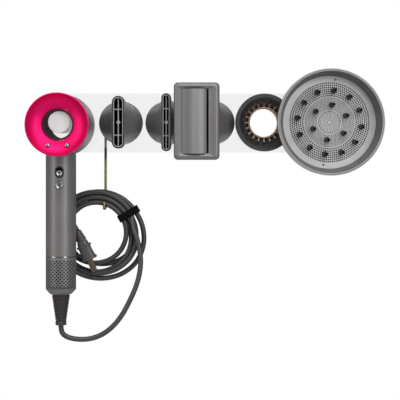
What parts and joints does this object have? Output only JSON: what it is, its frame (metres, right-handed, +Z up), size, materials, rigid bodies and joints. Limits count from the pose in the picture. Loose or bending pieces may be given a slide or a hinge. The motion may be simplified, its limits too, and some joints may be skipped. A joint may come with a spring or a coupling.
{
  "type": "hair dryer holder",
  "caption": "Clear wall plate holding a hair dryer on a peg, its coiled cord on a brass hook, and magnetic nozzles, an air ring and a diffuser on docks.",
  "frame": {"origin": "centre of the wall plate's back face", "axes": "+X along the plate towards the diffuser, +Y into the wall, +Z up"},
  "size_m": [0.441, 0.105, 0.342],
  "materials": {
    "clear_acrylic": "clear, polished",
    "magnet": "nickel plated",
    "steel": "satin",
    "brass_wire": "aged, satin",
    "grey_shell": "satin metallic grey",
    "grey_light": "satin light grey",
    "fuchsia": "satin gloss fuchsia",
    "dark_plastic": "matt black",
    "dark_gloss": "gloss black",
    "chrome_button": "polished",
    "copper_lip": "polished rose copper",
    "heater": "matt",
    "board": "green laminate",
    "cord_rubber": "soft satin",
    "strap_fabric": "woven hook and loop",
    "blade_brass": "dull"
  },
  "bodies": {
    "holder": {"wall_plate": "clear_acrylic", "dryer_peg": "clear_acrylic", "smoothing_dock": "clear_acrylic", "styling_dock": "clear_acrylic", "flyaway_dock": "clear_acrylic", "air_ring_dock": "clear_acrylic", "diffuser_dock": "clear_acrylic", "smoothing_magnet": "magnet", "styling_magnet": "magnet", "flyaway_magnet": "magnet", "air_ring_magnet": "magnet", "diffuser_magnet": "magnet", "hook_post": "brass_wire", "cord_hook": "brass_wire", "cord_lead": "cord_rubber", "cord_coil": "cord_rubber", "plug_cord": "cord_rubber", "cord_strap": "strap_fabric", "plug_relief": "dark_plastic", "plug_body": "cord_rubber", "plug_blades": "blade_brass"},
    "dryer": {"head_shell": "grey_shell", "intake_funnel": "fuchsia", "bore_liner": "dark_gloss", "outlet_ring": "grey_light", "heater_ring": "heater", "circuit_board": "board", "handle_tube": "grey_shell", "switch_bezel": "dark_plastic", "motor_housing": "dark_plastic", "trim_ring": "chrome_button", "filter_core": "steel", "strain_relief": "dark_plastic"},
    "power_slider": {"power_slider": "grey_light"},
    "cool_button": {"cool_button": "chrome_button"},
    "airflow_button": {"airflow_button": "chrome_button"},
    "heat_button": {"heat_button": "chrome_button"},
    "filter_cage": {"filter_cage": "grey_shell"},
    "impeller": {"impeller": "steel"},
    "smoothing_nozzle": {"smoothing_shell": "grey_shell", "smoothing_vane": "grey_light", "smoothing_steel": "steel"},
    "styling_concentrator": {"styling_shell": "grey_shell", "styling_vane": "grey_light", "styling_steel": "steel"},
    "flyaway_nozzle": {"flyaway_neck": "grey_shell", "flyaway_shell": "grey_shell", "flyaway_panel": "grey_shell", "flyaway_steel": "steel"},
    "air_ring": {"air_ring_shell": "dark_gloss", "air_ring_cone": "dark_gloss", "air_ring_lip": "copper_lip", "air_ring_steel": "steel"},
    "diffuser": {"diffuser_neck": "grey_shell", "diffuser_bowl": "grey_shell", "diffuser_rim": "grey_shell", "diffuser_plate": "grey_light", "diffuser_prongs": "dark_plastic", "diffuser_screws": "chrome_button", "diffuser_steel": "steel"}
  },
  "joints": [
    {"name": "dryer_lift_off", "type": "slide", "parent": "holder", "child": "dryer", "axis": [0, -1, 0], "range_m": [0, 0.085], "deforming": ["cord_lead"]},
    {"name": "power_slide", "type": "slide", "parent": "dryer", "child": "power_slider", "axis": [0, 0, 1], "range_m": [0, 0.0026]},
    {"name": "cool_press", "type": "slide", "parent": "dryer", "child": "cool_button", "axis": [0, 1, 0], "range_m": [0, 0.0012], "stiffness_N_per_m": 800, "springref_m": -0.001},
    {"name": "airflow_press", "type": "slide", "parent": "dryer", "child": "airflow_button", "axis": [0, 1, 0], "range_m": [0, 0.0009], "stiffness_N_per_m": 800, "springref_m": -0.001},
    {"name": "heat_press", "type": "slide", "parent": "dryer", "child": "heat_button", "axis": [0, 1, 0], "range_m": [0, 0.0009], "stiffness_N_per_m": 800, "springref_m": -0.001},
    {"name": "filter_cage_slide", "type": "slide", "parent": "dryer", "child": "filter_cage", "axis": [0, 0, -1], "range_m": [0, 0.03]},
    {"name": "impeller_spin", "type": "hinge", "parent": "dryer", "child": "impeller", "pos_m": [-0.168, -0.054, -0.15], "axis": [0, 0, 1], "continuous": true},
    {"name": "smoothing_pull_off", "type": "slide", "parent": "holder", "child": "smoothing_nozzle", "axis": [0, -1, 0], "range_m": [0, 0.11]},
    {"name": "styling_pull_out", "type": "slide", "parent": "holder", "child": "styling_concentrator", "axis": [0, -1, 0], "range_m": [0, 0.012]},
    {"name": "flyaway_pull_off", "type": "slide", "parent": "holder", "child": "flyaway_nozzle", "axis": [0, -1, 0], "range_m": [0, 0.11]},
    {"name": "air_ring_turn", "type": "hinge", "parent": "holder", "child": "air_ring", "pos_m": [0.0876, -0.02, 0], "axis": [0, -1, 0], "continuous": true},
    {"name": "diffuser_pull_off", "type": "slide", "parent": "holder", "child": "diffuser", "axis": [0, -1, 0], "range_m": [0, 0.11]}
  ]
}
